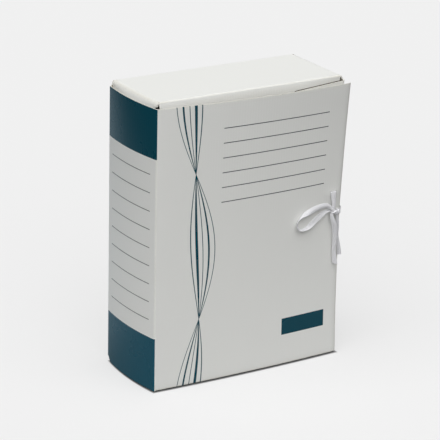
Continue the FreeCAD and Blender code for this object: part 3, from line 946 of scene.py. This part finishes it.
def ribbon(bm, stops, weave, slant=0):
    # a woven band along its stops: point, way across, share of its width left by gathering, arch, pleat depth
    line = nurbsLine([stop[0] for stop in stops])
    ways = nurbsLine([stop[1] for stop in stops])
    forms = nurbsLine([stop[2:5] for stop in stops])
    tops, unders = [], []
    travelled = 0
    whole = sum((b - a).length for a, b in zip(line, line[1:]))
    maps = {}
    for i, (point, way, form) in enumerate(zip(line, ways, forms)):
        run = (line[min(i + 1, len(line) - 1)] - line[max(i - 1, 0)]).normalized()
        across = (way - run * way.dot(run)).normalized()
        normal = run.cross(across)
        travelled += (point - line[max(i - 1, 0)]).length
        share, arch, depth = form
        halfWidth = share * tape["width"] / 2
        pleat = tape["width"] / (4 * tape["pleats"]) * math.sqrt(max(0, 1 - share * share)) * depth
        turn = math.pi * tape["pleats"]
        skew = slant * max(0, 1 - (whole - travelled) / tape["width"])
        tops.append([])
        unders.append([])
        for k in range(tape["segments"] + 1):
            q = k / tape["segments"] * 2 - 1
            wave = pleat * math.cos(turn * (q + 1)) + arch * (1 - q * q)
            slope = -pleat * turn * math.sin(turn * (q + 1)) - 2 * arch * q
            place = point + across * (q * halfWidth) + normal * wave + run * (q * halfWidth * skew)
            lift = (normal - across * (slope / halfWidth)).normalized()
            rim = min(1, tape["rimSlope"] * (1 - abs(q)) + tape["rim"])
            thick = tape["thick"] / 2 * (1 + tape["selvedge"] * (abs(q) > tape["selvedgeFrom"])) * rim
            for grid, side in ((tops, 1), (unders, -1)):
                vertex = bm.verts.new(place + lift * (side * thick))
                maps[vertex] = (q * tape["width"] / 2, travelled)
                grid[-1].append(vertex)
    before = len(bm.faces)
    closeSheet(bm, tops, unders, lambda i, j: True, (0, 0, 0))
    bm.faces.ensure_lookup_table()
    for face in bm.faces[before:]:
        for loop in face.loops:
            loop[weave].uv = maps[loop.vert]
    return line, travelled


def tapePiece(name, body, nodes, stops, slant=0):
    bm = bmesh.new()
    weave = bm.loops.layers.uv.new("weave")
    line, length = ribbon(bm, stops, weave, slant)
    piece = settlePart(name, bm, [cotton], body, nodes)
    print("tape", name, round(length / mm, 1), "mm")
    return piece, line, length


acrossX = Vector((1, 0, 0))
acrossY = Vector((0, 1, 0))
acrossZ = Vector((0, 0, 1))

# the tape from the cover: glued inside, out through the slit, down into the knot, hanging as the long tail
coverTape = {"end": 24.0 * mm, "seat": 0.4 * mm, "bend": 1.0 * mm, "ease": 0.2 * mm, "slack": 0.9 * mm,
             "overKnot": 0.6 * mm, "inKnot": (-2.4 * mm, 0.4 * mm), "leadPleat": 0.2,
             "tail": [(-0.6, -2.8), (-2.2, -10.0), (-1.2, -22.0), (0.6, -36.0), (1.6, -50.0), (1.4, -64.0)],
             "lean": 6.5, "shift": -3.3 * mm, "sway": (-1.6, -0.4, 2.2, 1.0, -0.4, 0.6),
             "gather": (0.42, 0.68, 0.78, 0.52, 0.55, 0.72), "turn": (-38, -38, -38, -36, -34, -30),
             "pleat": 0.14, "slant": -0.6}
# the tape from the tray, as far as the cover's free edge
trayTape = {"end": 24.0 * mm, "seat": 0.45 * mm, "clear": 0.6 * mm, "bend": 1.0 * mm, "ease": 0.2 * mm,
            "narrowing": 6.0 * mm, "pleat": 0.3}
# the same tape round the cover's edge, through the knot, out as the loop and back, and down as the short tail
bowTape = {"loop": [(-2.0, 3.0), (-8.0, 8.6), (-16.0, 10.0), (-26.0, 8.4), (-37.0, 5.6), (-47.0, 1.0),
                    (-51.6, -6.0), (-49.0, -13.0), (-41.5, -15.8), (-34.0, -13.0), (-27.0, -7.8),
                    (-18.0, -1.8), (-10.5, 2.0), (-4.0, 1.6)],
           "loopWays": [(0, 0.4, 0.9), (0, 0.1, 0.99), (0, 0, 1), (0.05, 0.05, 0.99), (0.2, 0.5, 0.8),
                        (0.55, 0.8, 0.1), (0.75, 0.65, 0), (0.65, 0.75, 0), (0.4, 0.85, 0.1),
                        (-0.1, 0.6, 0.65), (-0.48, 0.2, 0.86), (-0.45, 0.15, 0.88), (-0.2, 0.5, 0.8),
                        (0, 1, 0.2)],
           "loopGather": (0.45, 0.6, 0.78, 0.88, 0.72, 0.6, 0.56, 0.52, 0.52, 0.64, 0.84, 0.8, 0.5, 0.4),
           "loopArch": (-0.2, -0.5, -0.8, -0.8, -0.4, 0, 0, 0, 0.1, 0.3, 0.4, 0.3, 0, 0),
           "loopStand": (4.0, 3.6, 3.4, 3.2, 3.2, 3.0, 2.8, 2.6, 2.4, 2.0, 1.8, 1.8, 1.6, 2.0),
           "tail": [(1.4, -3.6), (1.6, -9.0), (2.6, -20.0), (3.4, -32.0), (3.2, -43.0), (3.7, -55.0)],
           "lean": 7.0, "shift": 3.8 * mm, "sway": (0, 0.9, 0.6, -0.8, 0.6, 0.9),
           "gather": (0.4, 0.42, 0.45, 0.42, 0.58, 0.62), "turn": (-10, -20, -30, -34, -36, -38),
           "pleat": 0.14, "slant": 0.1, "loopPleat": 0.12, "rootReach": 9.0,
           "wrap": [(0.9, 0.8, -3.0, 0.5), (-0.2, -1.2, -4.0, 0.42), (1.0, -2.6, -3.2, 0.42)],
           "intoKnot": (2.0, 0.2, 0.4), "outOfKnot": (1.0, 0.3, -0.8), "knotGather": 0.5, "knotPleat": 0.3}


def tailStops(values):
    # a hanging end: its route from the knot's middle, leaning towards the fore-edge
    lean = Matrix.Rotation(math.radians(-values["lean"]), 3, "Y")
    stops = []
    for (out, drop), sway, gather, turn in zip(*(values[key] for key in ("tail", "sway", "gather", "turn"))):
        hang = lean @ Vector((sway, out, drop)) * mm
        way = lean @ Matrix.Rotation(math.radians(turn), 3, "Z") @ -acrossX
        stops.append((knotAt + Vector((values["shift"], 0, 0)) + hang, way, gather, 0, values["pleat"]))
    return stops


insideY = coverOuter(slitX, slitZ) + board + coverTape["seat"]
outsideY = coverOuter(slitX, slitZ) - coverTape["seat"]
bend, ease = coverTape["bend"], coverTape["ease"]
inKnotX, inKnotY = coverTape["inKnot"]
coverRoute = [(slitX, insideY, slitZ + coverTape["end"], 1.0),
              (slitX, insideY, slitZ + coverTape["end"] / 2, 1.0),
              (slitX, insideY, slitZ + bend, 1.0),
              (slitX, insideY - ease, slitZ, 1.0),
              (slitX, outsideY - ease, slitZ, 0.98),
              (slitX, outsideY - 2 * ease, slitZ - bend, 0.96),
              ((slitX + knotAt.x) / 2, outsideY - coverTape["slack"], (slitZ + knotHigh.z) / 2, 0.72),
              (knotAt.x, knotAt.y + coverTape["overKnot"], knotHigh.z, 0.55),
              (knotAt.x + inKnotX, knotAt.y + inKnotY, knotAt.z, 0.45)]
coverStops = [(Vector(spot), -acrossX, gather, 0, coverTape["leadPleat"]) for *spot, gather in coverRoute]
coverTapePiece, coverLine, coverLength = tapePiece("tape_from_cover", "cover", ("cover_tape", "long_tail"),
                                                   coverStops + tailStops(coverTape), coverTape["slant"])

insideX = foreX - half - trayTape["seat"]
outsideX = foreX + half + trayTape["clear"]
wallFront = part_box("tray_tape")[0].y
bend, ease = trayTape["bend"], trayTape["ease"]
trayStops = [(Vector((x, y, trayTapeZ)), acrossZ, gather, 0, trayTape["pleat"]) for x, y, gather in (
    (insideX, traySlitY + trayTape["end"], 1), (insideX, traySlitY + trayTape["end"] / 2, 1),
    (insideX, traySlitY + bend, 1), (insideX + ease, traySlitY, 1), (outsideX - ease, traySlitY, 1),
    (outsideX, traySlitY - bend, 1), (outsideX, (traySlitY + wallFront) / 2, 0.95),
    (outsideX, wallFront + trayTape["narrowing"], 0.7), (outsideX, wallFront, 0.6))]
trayTapePiece, trayLine, trayLength = tapePiece("tape_from_tray", "fore_edge", ("tray_tape",), trayStops)

atKnot = (bowTape["knotGather"], 0, bowTape["knotPleat"])
edgeY = coverOuter(coverEdgeX, trayTapeZ)
bowStops = [trayStops[-1]]
for nearX, (x, y, z, gather) in zip((coverEdgeX, coverEdgeX, knotHigh.x), bowTape["wrap"]):
    spot = Vector((nearX, edgeY, tieZ)) + Vector((x, y, z)) * mm
    bowStops.append((spot, acrossZ, gather, 0, bowTape["knotPleat"]))
bowStops.append((knotAt + Vector(bowTape["intoKnot"]) * mm, acrossZ + acrossY, *atKnot))
loopKeys = ("loop", "loopWays", "loopGather", "loopArch", "loopStand")
for (x, z), way, gather, arch, stand in zip(*(bowTape[key] for key in loopKeys)):
    spot = knotAt + Vector((x, 0, z)) * mm
    root = max(0, 1 + x / bowTape["rootReach"])
    spot.y += (coverOuter(spot.x, spot.z) - stand * mm - knotAt.y) * (1 - root)
    bowStops.append((spot, Vector(way), gather, arch * mm, bowTape["loopPleat"]))
bowStops.append((knotAt + Vector(bowTape["outOfKnot"]) * mm, acrossY - acrossX, *atKnot))
bowStops += tailStops(bowTape)
bowPiece, bowLine, bowLength = tapePiece("tape_bow", "cover", ("tape_wrap", "bow_loop", "short_tail"),
                                         bowStops, bowTape["slant"])

# the knot: two bands drawn over the gathered tapes
knotBands = {"share": 0.34, "front": 1.6, "rise": 2.8, "side": 4.0, "pleat": 0.35,
             "overWay": (1, 0, -0.25), "crossWay": (0.25, 0, 1),
             "over": [(4.2, 0.8, 1.0), (4.0, -0.3, 1.0), (3.6, -1.0, 0.6), (3.0, -1.1, 0), (2.4, -1.0, -0.6),
                      (2.0, -0.2, -1.0), (1.8, 0.8, -1.0)],
             "cross": [(1.0, 0.6, 0.4), (1.0, -0.3, 0.35), (0.5, -0.75, 0.25), (-0.5, -0.7, -0.2),
                       (-1.0, -0.2, -0.35), (-1.0, 0.6, -0.4)]}


def knotPiece():
    bm = bmesh.new()
    weave = bm.loops.layers.uv.new("weave")
    front, rise, side, share = (knotBands[key] for key in ("front", "rise", "side", "share"))
    over = [Vector((x, y * front, z * rise)) * mm for x, y, z in knotBands["over"]]
    cross = [Vector((x * side, y * front, z * rise)) * mm for x, y, z in knotBands["cross"]]
    for points, key in ((over, "overWay"), (cross, "crossWay")):
        way = Vector(knotBands[key])
        ribbon(bm, [(knotAt + point, way, share, 0, knotBands["pleat"]) for point in points], weave)
    return settlePart("knot_wraps", bm, [cotton], "cover", ["knot"])


knotWraps = knotPiece()
print("tapes and knot made")


# paper patches glued over the tapes' ends, raised where the tape lies under them
patch = {"thick": 0.3 * mm, "cells": 20, "seat": 0.1 * mm, "puff": 0.25 * mm, "soft": 1.6 * mm}


def paperPatch(name, body, node, place, size, tapeEnd):
    # place gives a point from across, up and height above the board
    bm = bmesh.new()
    tops, unders = [], []
    for i in range(patch["cells"] + 1):
        tops.append([])
        unders.append([])
        for k in range(patch["cells"] + 1):
            a = (i / patch["cells"] - 0.5) * size
            b = k / patch["cells"] * size
            over = max(0, abs(a) - tape["width"] / 2, b - tapeEnd)
            height = patch["seat"] + (tape["thick"] + patch["puff"]) * bump(over, patch["soft"])
            unders[-1].append(bm.verts.new(place(a, b, height)))
            tops[-1].append(bm.verts.new(place(a, b, height + patch["thick"])))
    closeSheet(bm, tops, unders, lambda i, j: True, (0, 0, 0))
    settlePart(name, bm, [patchWhite], body, [node])


patchLow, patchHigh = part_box("tray_tape_patch")
patchSize = patchHigh.z - patchLow.z


def coverPatchPlace(a, b, h):
    # above the slit, trimmed short of the cover's free edge
    x = min(slitX + a, coverEdgeX - slit["width"])
    z = slitZ + slit["width"] + b
    return Vector((x, coverOuter(x, z) + board + h, z))


paperPatch("cover_patch", "cover", "cover_tape_patch", coverPatchPlace, patchSize,
           coverTape["end"] - slit["width"])
paperPatch("tray_patch", "fore_edge", "tray_tape_patch",
           lambda a, b, h: Vector((foreX - half - h, traySlitY + slit["width"] + b, trayTapeZ + a)),
           patchSize, trayTape["end"] - slit["width"])
print("patches made")


# floor, light and world; the fill lies level, so that it lights the back and the fore-edge alone
studio = {"floor": 4.0, "pale": (0.30, 0.30, 0.30, 1), "roll": (0.27, 0.27, 0.27, 1),
          "dim": (0.03, 0.03, 0.03, 1), "behind": (0.50, 0.58, 0.64, 1), "rollHalf": 0.37, "rollFade": 0.25,
          "behindStart": 0.06, "behindFade": 0.2, "glow": 0.555, "glowFade": 0.002, "world": 0.12,
          "sky": 0.86}
lamps = {"key": {"azimuth": -36.5, "elevation": 60.5, "strength": 3.40, "angle": 88, "gloss": True},
         "fill": {"azimuth": 152.0, "elevation": -0.12, "strength": 1.1, "angle": 0.2, "gloss": False}}


def makeFloor():
    bm = bmesh.new()
    bmesh.ops.create_grid(bm, x_segments=2, y_segments=2, size=studio["floor"])
    mesh = bpy.data.meshes.new("floor")
    bm.to_mesh(mesh)
    bm.free()
    material, graph = newMaterial("floor")
    x, y, z = graph.split(graph.objectPlace())
    fade = graph.clamp(graph.over(graph.outside(x, 0.0, studio["rollHalf"]), studio["rollFade"]))
    far = graph.over(graph.minus(y, studio["behindStart"]), studio["behindFade"])
    near = graph.mix(graph.clamp(far), studio["roll"], studio["behind"])
    lighting = graph.mix(fade, near, studio["dim"])
    seen = graph.add("ShaderNodeLightPath").outputs["Is Camera Ray"]
    shown = graph.mix(seen, lighting, studio["pale"])
    paper = graph.add("ShaderNodeBsdfDiffuse", {"Color": shown}).outputs[0]
    # the paper glows for the camera only outside the box's foot, so the gap under the cover stays dark
    share = graph.over(graph.minus(x, spineX), coverEdgeX - spineX)
    bow = graph.times(share, graph.minus(1.0, share))
    front = graph.scaled(bow, -4 * coverPanel["bows"][0], coverY - half)
    front = graph.scaled(share, -coverPanel["flares"][0], front)
    turn = graph.over(graph.minus(y, spineMiddle.y), spineChord / 2)
    left = graph.scaled(graph.times(turn, turn), spinePanel["bow"], spineX - half - spinePanel["bow"])
    clear = graph.larger(graph.minus(front, y), graph.minus(left, x))
    clear = graph.larger(clear, graph.minus(x, foreX + half))
    clear = graph.larger(clear, graph.minus(y, backY + half))
    lit = graph.clamp(graph.over(clear, studio["glowFade"]))
    strength = graph.times(graph.times(seen, lit), studio["glow"])
    glow = graph.add("ShaderNodeEmission", {"Strength": strength}).outputs[0]
    both = graph.add("ShaderNodeAddShader", {0: paper, 1: glow}).outputs[0]
    graph.add("ShaderNodeOutputMaterial", {"Surface": both})
    mesh.materials.append(material)
    floor = bpy.data.objects.new("floor", mesh)
    scene.collection.objects.link(floor)


def makeLights():
    for name, values in lamps.items():
        data = bpy.data.lights.new(name, "SUN")
        data.energy = values["strength"]
        data.angle = math.radians(values["angle"])
        lamp = bpy.data.objects.new(name, data)
        lamp.rotation_mode = "QUATERNION"
        lamp.rotation_quaternion = heading(values["azimuth"], values["elevation"]).to_track_quat("Z", "Y")
        lamp.visible_glossy = values["gloss"]
        scene.collection.objects.link(lamp)
    world = bpy.data.worlds.new("studio")
    world.use_nodes = True
    world.node_tree.nodes.clear()
    graph = Graph(world.node_tree)
    seen = graph.add("ShaderNodeLightPath").outputs["Is Camera Ray"]
    level = graph.scaled(seen, studio["sky"] - studio["world"], studio["world"])
    glow = graph.add("ShaderNodeBackground", {"Color": (1, 1, 1, 1), "Strength": level}).outputs[0]
    graph.add("ShaderNodeOutputWorld", {"Surface": glow})
    scene.world = world
    scene.view_settings.view_transform = "Standard"


makeFloor()
makeLights()
